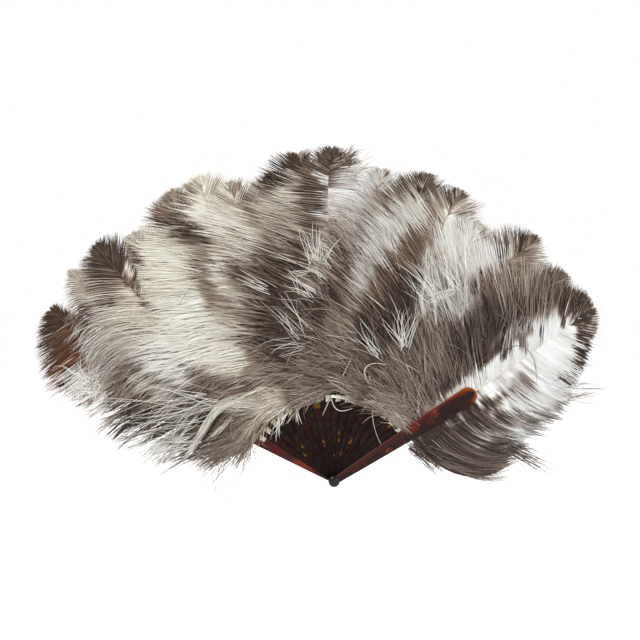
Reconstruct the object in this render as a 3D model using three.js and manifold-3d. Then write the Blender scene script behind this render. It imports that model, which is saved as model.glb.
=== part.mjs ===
// A folding hand fan. Shell sticks turn on one pin, each stick carries an ostrich plume,
// and a silk ribbon threaded through the sticks stops the fan when it is fully open.
import * as THREE from "three";
import { mergeVertices } from "three/addons/utils/BufferGeometryUtils.js";
import Module from "manifold-3d";

const wasm = await Module();
wasm.setup();

// Sizes are millimetres and degrees. The fan is drawn lying on its back with the pin's axis on Z,
// the rear cap's outer face at zero height and the front upwards. The last lines stand it up.

// Whole fan
const stickCount = 18; // both guards included
const openAngle = 119; // from the rear guard to the front guard
const rearGuardAngle = 151.5; // from +X, counter-clockwise seen from the front
const slideGap = 0.15; // between pieces that lie on one another

// Pin and caps
const pinRadius = 1.5;
const pinClearance = 0.2; // round the pin in every hole
const pinSides = 24;
const pinEndDepth = 1; // how far the pin's ends go into the caps
const capRadius = 6.2;
const rearCapHeight = 1.8;
const rearCapFlatRadius = 4.4;
const frontCapHeight = 3.4;
const frontCapFlatRadius = 1.6;
const capRimHeight = 0.7;
const capSides = 28;

// Sticks, measured along from the pin
const headRadius = 6.5;
const headOpening = 40; // half the angle where the neck leaves the head
const neckLength = 13;
const neckHalfWidth = 3;
const bladeLength = 102; // to the shoulder, where neighbours still lap
const bladeLap = 0.5; // how far a blade's edge passes the middle of the step
const bladeThickness = 1.15;
const shoulderLength = 9;
const tongueSetback = 18; // how far a tongue ends short of the guards' ends
const tongueHalfWidth = 3;

// Guards
const guardLength = 192;
const guardHalfWidth = 10.4; // where the rounded end begins
const guardNeckHalfWidth = 4.6;
const guardThickness = 2.4;
const guardBevel = 0.45;
const guardSwellLength = 105; // the sides bow out a little towards this place
const guardSwellHalfWidth = 8.8;
const guardTipLength = 12; // length of the rounded end

// Ribbon
const ribbonRadius = 95;
const ribbonWidth = 7;
const ribbonThickness = 0.2;
const slotMargin = 0.5; // free space round the ribbon in a slot
const ribbonMargin = 2; // between the ribbon's edges and the rebate or the quills

// Plumes
const quillHalfWidth = 2;
const quillThickness = 0.5;
const plumeReach = 392; // the longest plume's tip, from the pin
const plumeShares = [0.99, 1, 0.982, 0.934, 0.972, 0.972, 0.923, 0.901, 0.946]; // rear half of the fan
plumeShares.push(0.969, 0.901, 0.923, 0.913, 0.86, 0.903, 0.87, 0.89, 0.895); // front half
const vaneHalfWidth = 52;
const rearDroopWidth = 76; // the rear plume's lower vane hangs wider
const frontDroopWidth = 94; // and the front plume's lower vane wider still
const vaneBluntness = 0.4; // lower gives blunter ends
const vaneLean = 0.8; // under 1 puts the widest place nearer the quill
const vaneEdge = 0.3; // edge thickness as a share of the middle's
const vaneNotch = 0.07; // depth of the notches between locks of barbs, as a share of the width
const ribHalfWidth = 1.6; // the shaft that shows along the front of the vane
const ribTipHalfWidth = 0.6;
const ribRise = 0.5;
const curlDepth = 32; // how far the plumes lean to the front at the longest reach
const spreadPitch = 2; // how much the layers part at the longest reach
const spreadFill = 0.8; // share of the parting that the plume's body fills
const spreadMargin = 3; // plumes stay flat to this far past the guards
const flatRows = 6;
const spreadRows = 14;

// Derived sizes
const lastStick = stickCount - 1;
const step = THREE.MathUtils.degToRad(openAngle / lastStick);
const pitch = bladeThickness + slideGap;
const pinHoleRadius = pinRadius + pinClearance;
const rebateDepth = quillThickness + slideGap;
const rearRebateDepth = rebateDepth + ribRise;
const rebateStart = ribbonRadius - ribbonWidth / 2 - ribbonMargin;
const quillStart = ribbonRadius + ribbonWidth / 2 + ribbonMargin;
const bladeHalfWidth = bladeLength * Math.tan(step / 2) + bladeLap;
const slotWidth = ribbonThickness + 2 * slotMargin;
const slotLength = ribbonWidth + 2 * slotMargin;
const rearGuardFloor = rearCapHeight + slideGap;
const rearGuardTop = rearGuardFloor + guardThickness;
const firstBladeFloor = rearGuardTop + slideGap;
const bladeFloor = (index) => firstBladeFloor + (index - 1) * pitch;
const frontGuardFloor = bladeFloor(lastStick);
const frontGuardTop = frontGuardFloor + guardThickness;
const frontCapFloor = frontGuardTop + slideGap;
const tongueLength = guardLength - tongueSetback;
const spreadStart = guardLength + spreadMargin;
const longestReach = plumeReach * Math.max(...plumeShares);

const shell = { color: 0x24120e, roughness: 0.28, metalness: 0 };
const guardShell = { color: 0x54190d, roughness: 0.24, metalness: 0 };
const capShell = { color: 0x160c0a, roughness: 0.18, metalness: 0 };
const pinMetal = { color: 0xb08d4a, roughness: 0.35, metalness: 1 };
const silk = { color: 0xe9e2cd, roughness: 0.55, metalness: 0 };
const plumeColors = [0x6f5f54, 0xd9d4c8, 0x8a7b6f, 0xe2ded3];

function solidOf(geometry) {
  const plain = geometry.clone();
  plain.deleteAttribute("normal");
  plain.deleteAttribute("uv");
  const merged = mergeVertices(plain, 1e-4);
  const mesh = new wasm.Mesh({
    numProp: 3,
    vertProperties: Float32Array.from(merged.attributes.position.array),
    triVerts: Uint32Array.from(merged.index.array),
  });
  return new wasm.Manifold(mesh);
}

function geometryOf(solid) {
  const mesh = solid.getMesh();
  const geometry = new THREE.BufferGeometry();
  const positions = Float32Array.from(mesh.vertProperties);
  geometry.setAttribute("position", new THREE.BufferAttribute(positions, 3));
  geometry.setIndex(new THREE.BufferAttribute(Uint32Array.from(mesh.triVerts), 1));
  return geometry;
}

function boxBetween(low, high) {
  const size = high.map((value, axis) => value - low[axis]);
  const middle = high.map((value, axis) => (value + low[axis]) / 2);
  return new THREE.BoxGeometry(...size).translate(...middle);
}

// The round head with its pin hole closes every stick's outline.
function closeWithHead(shape) {
  const opening = THREE.MathUtils.degToRad(headOpening);
  shape.absarc(0, 0, headRadius, opening, 2 * Math.PI - opening, false);
  shape.closePath();
  shape.holes.push(new THREE.Path().absarc(0, 0, pinHoleRadius, 0, 2 * Math.PI, true));
}

function bladeShape() {
  const shape = new THREE.Shape();
  const tongueStart = bladeLength + shoulderLength;
  const tongueEnd = tongueLength - tongueHalfWidth;
  const shoulderX = bladeLength + shoulderLength * 0.6;
  shape.moveTo(neckLength, -neckHalfWidth);
  shape.lineTo(bladeLength, -bladeHalfWidth);
  shape.quadraticCurveTo(shoulderX, -bladeHalfWidth, tongueStart, -tongueHalfWidth);
  shape.lineTo(tongueEnd, -tongueHalfWidth);
  shape.absarc(tongueEnd, 0, tongueHalfWidth, -Math.PI / 2, Math.PI / 2, false);
  shape.lineTo(tongueStart, tongueHalfWidth);
  shape.quadraticCurveTo(shoulderX, bladeHalfWidth, bladeLength, bladeHalfWidth);
  shape.lineTo(neckLength, neckHalfWidth);
  closeWithHead(shape);
  const slot = new THREE.Path();
  slot.moveTo(ribbonRadius - slotLength / 2, -slotWidth / 2);
  slot.lineTo(ribbonRadius - slotLength / 2, slotWidth / 2);
  slot.lineTo(ribbonRadius + slotLength / 2, slotWidth / 2);
  slot.lineTo(ribbonRadius + slotLength / 2, -slotWidth / 2);
  slot.closePath();
  shape.holes.push(slot);
  return shape;
}

function guardShape() {
  const shape = new THREE.Shape();
  const tipStart = guardLength - guardTipLength;
  shape.moveTo(neckLength, -guardNeckHalfWidth);
  shape.quadraticCurveTo(guardSwellLength, -guardSwellHalfWidth, tipStart, -guardHalfWidth);
  shape.absellipse(tipStart, 0, guardTipLength, guardHalfWidth, -Math.PI / 2, Math.PI / 2, false);
  shape.quadraticCurveTo(guardSwellLength, guardSwellHalfWidth, neckLength, guardNeckHalfWidth);
  closeWithHead(shape);
  return shape;
}

// An inner stick: its back is cut away past the rebate, so that a plume and a ribbon fit behind it.
function bladeGeometry() {
  const settings = { depth: bladeThickness, bevelEnabled: false, curveSegments: 8 };
  const blade = solidOf(new THREE.ExtrudeGeometry(bladeShape(), settings));
  const reach = tongueLength + bladeLength;
  const rebate = boxBetween([rebateStart, -reach, -bladeThickness], [reach, reach, rebateDepth]);
  return geometryOf(blade.subtract(solidOf(rebate)));
}

// A guard: the rear one is rebated on its front from the quill on, the front one on its back.
function guardGeometry(isRear) {
  const settings = {
    depth: guardThickness - 2 * guardBevel,
    bevelEnabled: true,
    bevelThickness: guardBevel,
    bevelSize: guardBevel,
    bevelOffset: -guardBevel,
    bevelSegments: 2,
    curveSegments: 12,
  };
  const plain = new THREE.ExtrudeGeometry(guardShape(), settings).translate(0, 0, guardBevel);
  const reach = 2 * guardLength;
  const low = isRear ? guardThickness - rearRebateDepth : -guardThickness;
  const high = isRear ? 2 * guardThickness : rebateDepth;
  const start = isRear ? quillStart - ribbonMargin / 2 : rebateStart;
  const rebate = boxBetween([start, -reach, low], [reach, reach, high]);
  return geometryOf(solidOf(plain).subtract(solidOf(rebate)));
}

// One span of ribbon lies on its stick's face and runs to the next stick's slot.
// On an inner stick its tail goes down through the stick's own slot.
function ribbonGeometry(hasTail) {
  const inner = ribbonRadius - ribbonWidth / 2;
  const outer = ribbonRadius + ribbonWidth / 2;
  const half = ribbonThickness / 2;
  const span = ribbonRadius * Math.tan(step);
  const strip = boxBetween([inner, -span, slideGap], [outer, half, slideGap + ribbonThickness]);
  if (!hasTail) {
    return strip;
  }
  const tailEnd = rebateDepth - bladeThickness;
  const tail = boxBetween([inner, -half, tailEnd], [outer, half, slideGap + ribbonThickness]);
  return geometryOf(solidOf(strip).add(solidOf(tail)));
}

// Every plume uses the same rows, so that one layer follows the next at each turn of the pin.
const rowRadii = [];
for (let row = 0; row < flatRows; row += 1) {
  rowRadii.push(quillStart + (spreadStart - quillStart) * (row / flatRows) ** 1.6);
}
for (let row = 0; row <= spreadRows; row += 1) {
  rowRadii.push(spreadStart + ((longestReach - spreadStart) * row) / spreadRows);
}

// How far the bend has gone at a radius: 0 up to the guards' ends, 1 at the longest reach.
function bendAt(radius) {
  if (radius <= spreadStart) {
    return 0;
  }
  const place = ((radius - spreadStart) / (longestReach - spreadStart)) * spreadRows;
  const row = Math.min(Math.floor(place), spreadRows - 1);
  const low = (row / spreadRows) ** 2;
  const high = ((row + 1) / spreadRows) ** 2;
  return low + (high - low) * (place - row);
}

function vaneWidthAt(share, fullWidth) {
  const lean = share ** vaneLean;
  return Math.max(quillHalfWidth, fullWidth * (4 * lean * (1 - lean)) ** vaneBluntness);
}

// A plume is a thin leaf with notched edges and a raised rib, drawn as rows of vertices at one radius.
function plumeGeometry(index) {
  const reach = plumeReach * plumeShares[index % plumeShares.length];
  const leftWidth = index === 0 ? rearDroopWidth : vaneHalfWidth;
  const rightWidth = index === lastStick ? frontDroopWidth : vaneHalfWidth;
  const floor = index === 0 ? rearGuardTop - ribRise - quillThickness : bladeFloor(index);
  const tipRows = [0.95, 0.985, 1].map((share) => quillStart + (reach - quillStart) * share);
  const radii = rowRadii.filter((radius) => radius < tipRows[0] - 2).concat(tipRows);
  const lastRow = radii.length - 1;
  const columnCount = 6;
  const lastColumn = columnCount - 1;
  const positions = [];
  radii.forEach((radius, row) => {
    const share = (radius - quillStart) / (reach - quillStart);
    const bend = bendAt(radius);
    const lift = bend * (curlDepth + spreadPitch * (index - lastStick / 2));
    const middle = floor + quillThickness / 2 + lift;
    const half = (quillThickness + bend * spreadPitch * spreadFill) / 2;
    const notch = row % 2 === 1 && row < lastRow - 1 ? 1 - vaneNotch : 1;
    const left = vaneWidthAt(share, leftWidth) * notch;
    const right = vaneWidthAt(share, rightWidth) * notch;
    const rib = Math.min(ribHalfWidth + (ribTipHalfWidth - ribHalfWidth) * share, left / 2, right / 2);
    const rise = ribRise * Math.min(1, bend * spreadRows);
    const put = (offset, front, back) => {
      const x = radius * Math.cos(offset / radius);
      const y = radius * Math.sin(offset / radius);
      positions.push(x, y, middle + front, x, y, middle - back);
    };
    put(-right, half * vaneEdge, half * vaneEdge);
    put(-(right + rib) / 2, half * (1 + vaneEdge) / 2, half * (1 + vaneEdge) / 2);
    put(-rib, half + rise, half);
    put(rib, half + rise, half);
    put((left + rib) / 2, half * (1 + vaneEdge) / 2, half * (1 + vaneEdge) / 2);
    put(left, half * vaneEdge, half * vaneEdge);
  });
  const front = (row, column) => 2 * (row * columnCount + column);
  const back = (row, column) => front(row, column) + 1;
  const triangles = [];
  const quad = (a, b, c, d) => triangles.push(a, b, c, a, c, d);
  for (let row = 0; row < lastRow; row += 1) {
    const above = row + 1;
    for (let column = 0; column < lastColumn; column += 1) {
      const next = column + 1;
      quad(front(row, column), front(above, column), front(above, next), front(row, next));
      quad(back(row, column), back(row, next), back(above, next), back(above, column));
    }
    quad(front(row, 0), back(row, 0), back(above, 0), front(above, 0));
    quad(front(row, lastColumn), front(above, lastColumn), back(above, lastColumn), back(row, lastColumn));
  }
  for (let column = 0; column < lastColumn; column += 1) {
    const next = column + 1;
    quad(front(0, column), front(0, next), back(0, next), back(0, column));
    quad(front(lastRow, column), back(lastRow, column), back(lastRow, next), front(lastRow, next));
  }
  const geometry = new THREE.BufferGeometry();
  geometry.setAttribute("position", new THREE.Float32BufferAttribute(positions, 3));
  geometry.setIndex(triangles);
  return geometry;
}

// A domed cap, drawn from its crown's flat down round the rim to the blind hole for the pin's end.
function capGeometry(height, flatRadius) {
  const domeSteps = 5;
  const profile = [new THREE.Vector2(0, pinEndDepth)];
  profile.push(new THREE.Vector2(pinHoleRadius, pinEndDepth));
  profile.push(new THREE.Vector2(pinHoleRadius, 0));
  profile.push(new THREE.Vector2(capRadius - capRimHeight / 2, 0));
  for (let turn = 0; turn <= domeSteps; turn += 1) {
    const angle = ((turn / domeSteps) * Math.PI) / 2;
    const radius = flatRadius + (capRadius - flatRadius) * Math.cos(angle);
    const level = capRimHeight + (height - capRimHeight) * Math.sin(angle);
    profile.push(new THREE.Vector2(radius, level));
  }
  profile.push(new THREE.Vector2(0, height));
  return new THREE.LatheGeometry(profile, capSides).rotateX(Math.PI / 2);
}

const fan = new THREE.Group();
fan.name = "feather_fan";

function place(parent, name, geometry, look, height) {
  const shown = geometry.index ? geometry.toNonIndexed() : geometry.clone();
  shown.computeVertexNormals();
  const mesh = new THREE.Mesh(shown, new THREE.MeshStandardMaterial(look));
  mesh.name = name;
  mesh.position.z = height;
  parent.add(mesh);
  return mesh;
}

const twoDigits = (number) => String(number).padStart(2, "0");
const blade = bladeGeometry();
const innerRibbon = ribbonGeometry(true);

for (let index = 0; index < stickCount; index += 1) {
  const isRear = index === 0;
  const isFront = index === lastStick;
  const arm = new THREE.Group();
  arm.rotation.z = THREE.MathUtils.degToRad(rearGuardAngle) - index * step;
  fan.add(arm);
  let plumeName = `plume_${twoDigits(index)}`;
  if (isRear) {
    place(arm, "rear_guard", guardGeometry(true), guardShell, rearGuardFloor);
    plumeName = "rear_guard_plume";
  } else if (isFront) {
    place(arm, "front_guard", guardGeometry(false), guardShell, frontGuardFloor);
    plumeName = "front_guard_plume";
  } else {
    place(arm, `stick_${twoDigits(index)}`, blade, shell, bladeFloor(index));
  }
  const plumeLook = { color: plumeColors[index % plumeColors.length], roughness: 0.85, metalness: 0 };
  place(arm, plumeName, plumeGeometry(index), plumeLook, 0);
  if (!isFront) {
    const top = isRear ? rearGuardTop : bladeFloor(index) + bladeThickness;
    const ribbon = isRear ? ribbonGeometry(false) : innerRibbon;
    place(arm, `ribbon_span_${twoDigits(index + 1)}`, ribbon, silk, top);
  }
}

const pinFloor = rearCapHeight - pinEndDepth + slideGap;
const pinTop = frontCapFloor + pinEndDepth - slideGap;
const pinLength = pinTop - pinFloor;
const pin = new THREE.CylinderGeometry(pinRadius, pinRadius, pinLength, pinSides).rotateX(Math.PI / 2);
place(fan, "pivot_pin", pin, pinMetal, (pinTop + pinFloor) / 2);
const rearCap = capGeometry(rearCapHeight, rearCapFlatRadius).rotateX(Math.PI);
place(fan, "rear_cap", rearCap, capShell, rearCapHeight);
place(fan, "front_cap", capGeometry(frontCapHeight, frontCapFlatRadius), capShell, frontCapFloor);

// Stand the fan up: its front turns to -Y and its plumes point up.
const part = new THREE.Group();
part.name = "part";
fan.rotation.x = Math.PI / 2;
part.add(fan);
part.updateMatrixWorld(true);

export default part;
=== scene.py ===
import math
from collections import namedtuple

import bpy
import numpy as np
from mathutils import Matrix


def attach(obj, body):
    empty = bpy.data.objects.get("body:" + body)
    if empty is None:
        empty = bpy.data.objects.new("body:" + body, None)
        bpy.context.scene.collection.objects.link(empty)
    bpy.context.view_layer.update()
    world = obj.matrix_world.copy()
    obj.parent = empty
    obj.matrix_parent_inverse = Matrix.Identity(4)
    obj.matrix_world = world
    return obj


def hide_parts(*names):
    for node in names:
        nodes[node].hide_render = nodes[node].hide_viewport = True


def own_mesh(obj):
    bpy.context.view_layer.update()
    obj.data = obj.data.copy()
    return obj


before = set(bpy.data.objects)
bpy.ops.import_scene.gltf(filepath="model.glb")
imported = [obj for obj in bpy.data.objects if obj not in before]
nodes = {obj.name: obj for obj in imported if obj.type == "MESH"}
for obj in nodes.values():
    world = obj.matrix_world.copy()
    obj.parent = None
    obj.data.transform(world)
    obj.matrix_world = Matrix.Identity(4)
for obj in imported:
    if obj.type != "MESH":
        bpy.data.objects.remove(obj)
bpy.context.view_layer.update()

# Sizes that the plumes share with the CAD, in millimetres and degrees. Meshes are made in metres.
STICKS = 18
LAST = STICKS - 1
REAR_ANGLE = 151.5
OPEN_ANGLE = 119
STEP = OPEN_ANGLE / LAST
REAR_PLUME_FLOOR = 3.35
FIRST_PLUME_FLOOR = 4.5
STACK_PITCH = 1.3
QUILL_START = 100.5
QUILL_THICKNESS = 0.5
SPREAD_START = 195
CURL_DEPTH = 32
SPREAD_PITCH = 2
BEND_LIMIT = 1.04  # strands past the longest plume bend no further
LONGEST = 392
SHARES = (0.99, 1, 0.982, 0.934, 0.972, 0.972, 0.923, 0.901, 0.946,
          0.969, 0.901, 0.923, 0.913, 0.86, 0.903, 0.87, 0.89, 0.895)


def stick_angle(index):
    return REAR_ANGLE - STEP * index


def plume_floor(index):
    return REAR_PLUME_FLOOR if index == 0 else FIRST_PLUME_FLOOR + STACK_PITCH * (index - 1)


def plume_height(index, radius):
    """How far in front of the rear cap the middle of a plume lies."""
    bend = np.clip((radius - SPREAD_START) / (LONGEST - SPREAD_START), 0, BEND_LIMIT) ** 2
    curl = CURL_DEPTH + SPREAD_PITCH * (index - LAST / 2)
    return plume_floor(index) + QUILL_THICKNESS / 2 + bend * curl


def names_of(index):
    """The body of a stick and the node of its plume."""
    if 0 < index < LAST:
        return f"stick_{index:02d}_body", f"plume_{index:02d}"
    guard = "rear_guard" if index == 0 else "front_guard"
    return guard + "_body", guard + "_plume"


# Materials

def srgb(r, g, b):
    def lin(c):
        c /= 255
        return c / 12.92 if c <= 0.04045 else ((c + 0.055) / 1.055) ** 2.4
    return (lin(r), lin(g), lin(b), 1)


class Nodes:
    """A short way to write the nodes of a material or a world."""

    def __init__(self, owner, shader="Principled BSDF"):
        owner.use_nodes = True
        self.owner = owner
        self.tree = owner.node_tree
        self.shader = self.tree.nodes[shader]

    def add(self, kind, inputs, **settings):
        node = self.tree.nodes.new("ShaderNode" + kind)
        for key, value in settings.items():
            setattr(node, key, value)
        for key, value in inputs.items():
            self.put(node.inputs[key], value)
        return node

    def put(self, socket, value):
        if isinstance(value, bpy.types.NodeSocket):
            self.tree.links.new(value, socket)
        else:
            socket.default_value = value

    def set(self, **values):
        for key, value in values.items():
            self.put(self.shader.inputs[key.replace("_", " ")], value)

    def math(self, operation, a, b=None, clamp=False):
        inputs = {0: a} if b is None else {0: a, 1: b}
        return self.add("Math", inputs, operation=operation, use_clamp=clamp).outputs[0]

    def times(self, a, b):
        return self.math("MULTIPLY", a, b)

    def less(self, a, b):
        return self.math("SUBTRACT", a, b)

    def swing(self, value, amount):
        """Turns a value from 0 to 1 into one that swings about 0."""
        return self.times(self.less(value, 0.5), amount)

    def span(self, value, low, high, to_low=0, to_high=1, smooth=True):
        inputs = {"Value": value, "From Min": low, "From Max": high, "To Min": to_low, "To Max": to_high}
        style = "SMOOTHSTEP" if smooth else "LINEAR"
        return self.add("MapRange", inputs, interpolation_type=style).outputs["Result"]

    def mix(self, share, a, b, blend="MIX"):
        inputs = {"Factor": share, 6: a, 7: b}
        return self.add("Mix", inputs, data_type="RGBA", blend_type=blend).outputs[2]

    def ramp(self, value, stops):
        node = self.add("ValToRGB", {0: value})
        band = node.color_ramp
        while len(band.elements) < len(stops):
            band.elements.new(0.5)
        for element, (place, colour) in zip(band.elements, stops):
            element.position = place
            element.color = colour
        return node.outputs[0]

    def noise(self, vector, scale, detail=3, roughness=0.5):
        inputs = dict(Vector=vector, Scale=scale, Detail=detail, Roughness=roughness)
        return self.add("TexNoise", inputs).outputs["Fac"]

    def attribute(self, name):
        return self.add("Attribute", {}, attribute_name=name).outputs["Fac"]

    def coords(self):
        return self.add("TexCoord", {}).outputs["Object"]

    def mapped(self, vector, scale=(1, 1, 1), turn=(0, 0, 0)):
        return self.add("Mapping", dict(Vector=vector, Scale=scale, Rotation=turn)).outputs[0]

    def bump(self, height, strength, distance):
        node = self.add("Bump", dict(Height=height, Strength=strength, Distance=distance))
        self.set(Normal=node.outputs[0])


def shader(name):
    return Nodes(bpy.data.materials.new(name))


# Colours from dark to pale: barbs that are warm, grey or rusty, and the shafts
CREAM = (
    (0, srgb(50, 37, 29)), (0.2, srgb(92, 73, 60)), (0.4, srgb(136, 115, 97)), (0.6, srgb(184, 166, 145)),
    (0.8, srgb(228, 219, 199)), (0.9, srgb(241, 236, 219)), (1, srgb(249, 247, 235)))
ASH = (
    (0, srgb(46, 37, 34)), (0.2, srgb(88, 75, 69)), (0.4, srgb(132, 120, 113)),
    (0.6, srgb(182, 176, 171)), (0.8, srgb(225, 225, 224)), (0.9, srgb(238, 240, 240)),
    (1, srgb(248, 250, 251)))
RUST = ((0, srgb(58, 34, 24)), (0.25, srgb(116, 68, 40)), (0.5, srgb(160, 108, 72)))
HORN = ((0, srgb(58, 38, 28)), (0.5, srgb(150, 122, 92)), (1, srgb(233, 224, 200)))


def barb_material():
    m = shader("plume_barbs")
    speckle = m.noise(m.coords(), 900, 2)
    tone = m.math("ADD", m.attribute("tone"), m.swing(m.attribute("rand"), 0.16))
    tone = m.math("ADD", tone, m.swing(speckle, 0.1), clamp=True)
    colour = m.mix(m.attribute("ash"), m.ramp(tone, CREAM), m.ramp(tone, ASH))
    colour = m.mix(m.attribute("warm"), colour, m.ramp(tone, RUST))
    # Painted shade: each strand's edges are painted darker than its ridge, as a round strand would be
    # shaded.
    edge = m.span(m.attribute("ridge"), 0, 1, 0.8, 1, smooth=False)
    shade = m.add("CombineColor", {0: edge, 1: edge, 2: edge})
    m.set(Base_Color=m.mix(1, colour, shade.outputs[0], "MULTIPLY"))
    m.set(Roughness=m.span(speckle, 0.3, 0.7, 0.55, 0.75), Specular_IOR_Level=0.18)
    m.set(Sheen_Weight=0.06, Sheen_Roughness=0.5)
    return m.owner


def shaft_material():
    m = shader("plume_shaft")
    streak = m.noise(m.coords(), 260)
    tone = m.math("ADD", m.attribute("tone"), m.swing(streak, 0.3), clamp=True)
    m.set(Base_Color=m.ramp(tone, HORN), Roughness=m.span(streak, 0.3, 0.7, 0.3, 0.45))
    m.bump(streak, 0.2, 0.0002)
    return m.owner


def shell_frame(m, place, angle):
    """Places on a stick: along from the pin and across from its middle line, in metres."""
    turned = m.add("VectorRotate", dict(Vector=place, Angle=math.radians(angle)), rotation_type="Y_AXIS")
    split = m.add("SeparateXYZ", {0: turned.outputs[0]})
    return split.outputs[0], split.outputs[2]


def glow(m, along, across, spot, stretch):
    """A soft spot on a stick, given as along, across and size in millimetres."""
    at, aside, size = (length / 1000 for length in spot)
    dx = m.times(m.less(along, at), 1 / (size * stretch))
    dz = m.times(m.less(across, aside), 1 / size)
    away = m.math("SQRT", m.math("ADD", m.times(dx, dx), m.times(dz, dz)))
    return m.span(away, 0.3, 1, 1, 0)


# A blade's taper: two distances from the pin and the half width at each, in metres
BLADE_TAPER = (0.013, 0.102, 0.003, 0.00674)


def stick_material(index, spots):
    """Near-black shell with painted shade along both edges, where the sticks overlap, and a few amber
    spots.
    """
    m = shader(f"stick_shell_{index:02d}")
    place = m.coords()
    along, across = shell_frame(m, place, stick_angle(index))
    shifted = m.mapped(place, turn=(0, 0.6 * index, 0))
    cloud = m.noise(shifted, 60, 4, 0.55)
    patch = m.noise(shifted, 150, 3, 0.6)
    body = m.mix(m.span(patch, 0.35, 0.7), srgb(24, 12, 10), srgb(42, 26, 22))
    body = m.mix(m.span(cloud, 0.56, 0.7), body, srgb(52, 12, 9))
    for spot in spots:
        lit = m.times(glow(m, along, across, spot, 1.4), m.span(patch, 0.36, 0.56))
        body = m.mix(lit, body, srgb(118, 78, 20))
    # Painted shade: a near-black line along both edges of each stick stands in for the shadow where the
    # sticks overlap.
    half = m.span(along, *BLADE_TAPER, smooth=False)
    inside = m.less(half, m.math("ABSOLUTE", across))
    body = m.mix(m.span(inside, 0.0003, 0.0013, 1, 0), body, srgb(4, 2, 2))
    m.set(Base_Color=body, Specular_IOR_Level=0.07)
    m.set(Roughness=m.span(m.noise(place, 700), 0.3, 0.7, 0.28, 0.42))
    m.bump(m.math("ADD", patch, m.times(inside, 300)), 0.15, 0.0005)
    return m.owner


# A guard's half width against the distance from the pin, as shares of this width and this length in metres
PROFILE_LENGTH = 0.2
PROFILE_WIDTH = 0.02
GUARD_PROFILE = (
    (0, 0.325), (0.03, 0.21), (0.065, 0.23), (0.29, 0.327), (0.504, 0.4075), (0.707, 0.472), (0.9, 0.52),
    (0.93, 0.45), (0.95, 0.2875), (0.96, 0))


def guard_half_width(m, along):
    width = m.add("FloatCurve", dict(Value=m.times(along, 1 / PROFILE_LENGTH)))
    curve = width.mapping.curves[0]
    while len(curve.points) < len(GUARD_PROFILE):
        curve.points.new(0.5, 0.5)
    for point, place in zip(curve.points, GUARD_PROFILE):
        point.location = place
        point.handle_type = "AUTO_CLAMPED"
    width.mapping.update()
    return m.times(width.outputs[0], PROFILE_WIDTH)


def guard_material(name, angle, spots, rim_from, rim_colour, low_rim):
    """Dark maroon shell with an amber rim round its end, a red strip by the upper edge and soft patches."""
    m = shader(name)
    place = m.coords()
    along, across = shell_frame(m, place, angle)
    cloud = m.noise(place, 46, 4, 0.55)
    patch = m.noise(place, 120, 3, 0.6)
    body = m.mix(m.span(patch, 0.35, 0.7), srgb(24, 9, 7), srgb(42, 18, 13))
    body = m.mix(m.span(cloud, 0.5, 0.7, 0, 0.6), body, srgb(72, 20, 12))
    half = guard_half_width(m, along)
    lane = m.math("DIVIDE", across, m.math("MAXIMUM", half, 0.001))
    strip = m.times(m.span(lane, 0.1, 0.35), m.span(along, 0.07, 0.13, 0.8, 0.15))
    body = m.mix(strip, body, srgb(78, 23, 12))
    seam = m.span(m.math("ABSOLUTE", m.less(lane, 0.5)), 0.04, 0.14, 1, 0)
    body = m.mix(m.times(seam, m.span(along, 0.08, 0.11, 0.85, 0)), body, srgb(24, 12, 11))
    for *spot, colour in spots:
        lit = m.times(glow(m, along, across, spot, 1.7), m.span(patch, 0.28, 0.6))
        body = m.mix(lit, body, colour)
    inside = m.less(half, m.math("ABSOLUTE", across))
    depth = m.math("ADD", inside, m.swing(cloud, 0.004))
    broad = m.times(m.span(depth, 0.001, 0.0075, 1, 0), m.span(along, 0.166, 0.186))
    rim = m.math("MAXIMUM", m.span(depth, 0.0006, 0.004, 1, 0), broad)
    lower = m.math("MAXIMUM", m.span(lane, -0.3, 0.3, low_rim, 1), m.span(along, 0.178, 0.188))
    far = m.times(m.span(along, rim_from, rim_from + 0.05), lower)
    edge = m.mix(m.span(along, 0.145, 0.178), srgb(100, 28, 9), rim_colour)
    body = m.mix(m.times(rim, far), body, edge)
    m.set(Base_Color=body, Specular_IOR_Level=0.14, Coat_Weight=0.05, Coat_Roughness=0.1)
    m.set(Roughness=m.span(m.noise(place, 700), 0.3, 0.7, 0.14, 0.24))
    m.bump(patch, 0.12, 0.0004)
    return m.owner


def cap_material():
    m = shader("cap_shell")
    place = m.coords()
    cloud = m.noise(place, 240)
    m.set(Base_Color=m.mix(m.span(cloud, 0.5, 0.7), srgb(12, 6, 5), srgb(44, 16, 11)))
    m.set(Roughness=m.span(m.noise(place, 900, 2), 0.3, 0.7, 0.06, 0.12), Specular_IOR_Level=0.3)
    m.bump(cloud, 0.08, 0.0002)
    return m.owner


def pin_material():
    m = shader("pin_metal")
    wear = m.noise(m.mapped(m.coords(), (1, 14, 1)), 500)
    m.set(Base_Color=m.mix(m.span(wear, 0.35, 0.7), srgb(150, 116, 58), srgb(196, 160, 92)))
    m.set(Roughness=m.span(wear, 0.3, 0.7, 0.25, 0.45), Metallic=1)
    return m.owner


def silk_material():
    m = shader("ribbon_silk")
    place = m.coords()
    weave = m.noise(place, 1600, 2)
    stain = m.noise(place, 90)
    m.set(Base_Color=m.mix(m.span(stain, 0.35, 0.7), srgb(236, 228, 205), srgb(214, 200, 168)))
    m.set(Roughness=m.span(weave, 0.3, 0.7, 0.4, 0.6), Sheen_Weight=0.3)
    m.bump(weave, 0.25, 0.0001)
    return m.owner


# Meshes

UV_COLUMNS = 14
UV_ROWS = 16  # or more, as the strands need
RIDGE = 0.7  # height of a strand's ridge against its half width
TINY = 1e-9
FRONT = np.array([0, -1, 0])  # the way that the fan faces


def moving_frame(points):
    """Unit vectors to the side and to the face of lines of points."""
    along = np.gradient(points, axis=-2)
    along /= np.linalg.norm(along, axis=-1, keepdims=True) + TINY
    side = np.cross(along, FRONT)
    side /= np.linalg.norm(side, axis=-1, keepdims=True) + TINY
    return side, np.cross(side, along)


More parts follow.
